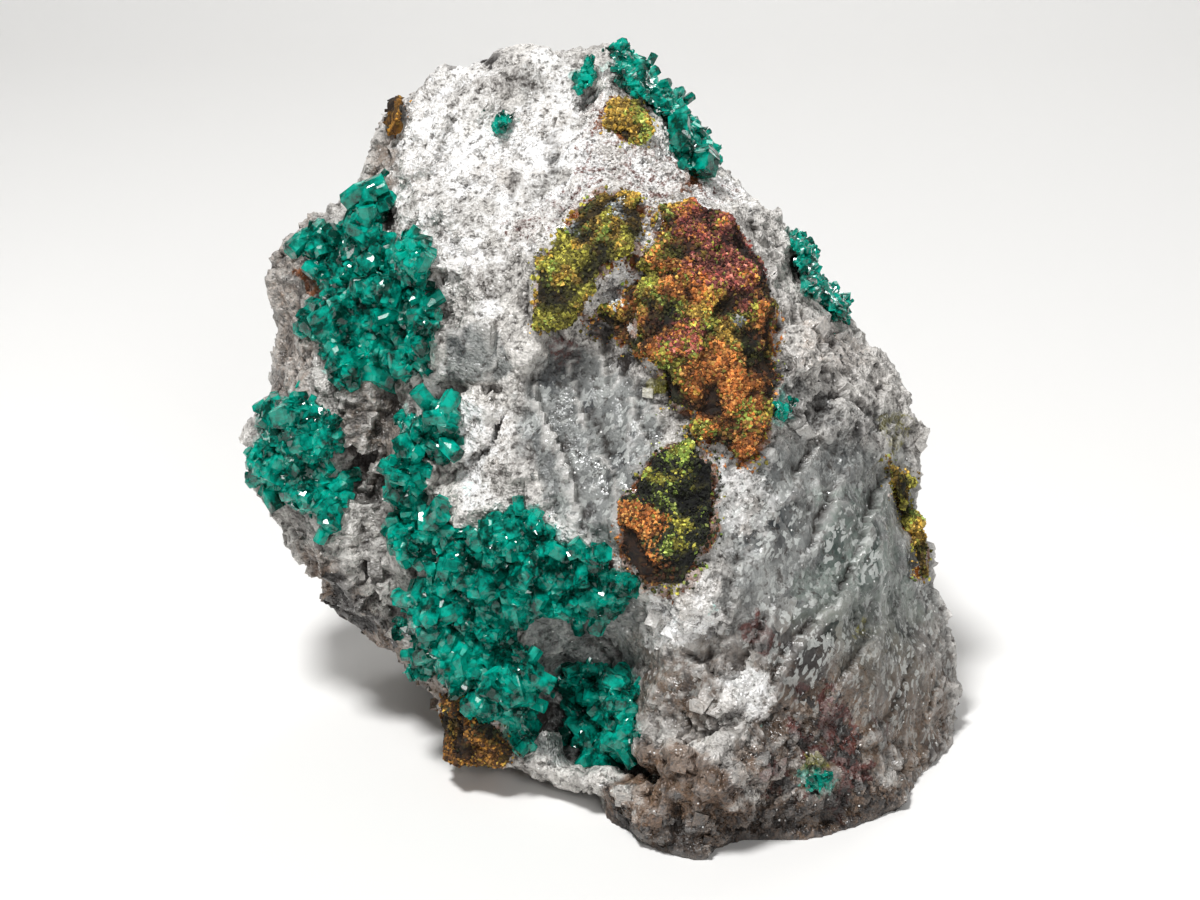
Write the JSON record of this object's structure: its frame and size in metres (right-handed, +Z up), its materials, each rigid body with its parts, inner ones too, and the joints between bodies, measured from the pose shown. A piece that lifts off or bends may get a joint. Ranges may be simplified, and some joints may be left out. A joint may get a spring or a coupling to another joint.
{
  "type": "dioptase mineral specimen",
  "caption": "Hand-sized mineral specimen: a broken block of white and grey calcite with groups of emerald-green dioptase crystals and rusty earthy crusts, resting on a flat face.",
  "frame": {"origin": "middle of the specimen's bounding box, on the flat face that it rests on", "axes": "+Z up, -Y towards the viewer of the crystal-bearing front, +X to that viewer's right"},
  "size_m": [0.0716, 0.0648, 0.0651],
  "materials": {
    "calcite": "sugary to cleaved calcite, white to grey, slightly translucent",
    "dioptase": "glassy, transparent to translucent emerald green crystals",
    "iron_crust": "dull earthy, granular, orange to maroon brown",
    "olive_crust": "dull earthy, granular, olive to mustard",
    "dark_crust": "dull earthy, dark olive to black",
    "golden_flake": "dull golden brown flake"
  },
  "bodies": {
    "root": {"matrix": "calcite", "dioptase_upper_left": "dioptase", "dioptase_far_left": "dioptase", "dioptase_centre": "dioptase", "dioptase_pocket": "dioptase", "dioptase_top_ridge": "dioptase", "dioptase_right_edge": "dioptase", "dioptase_cap": "dioptase", "dioptase_top_small": "dioptase", "dioptase_notch": "dioptase", "dioptase_lower_left": "dioptase", "dioptase_lower_right": "dioptase", "iron_crust_centre": "iron_crust", "olive_crust_upper": "olive_crust", "olive_crust_apex": "olive_crust", "dark_crust_lower": "dark_crust", "iron_crust_lower_left": "iron_crust", "iron_crust_right": "olive_crust", "golden_chip": "golden_flake"}
  },
  "joints": []
}
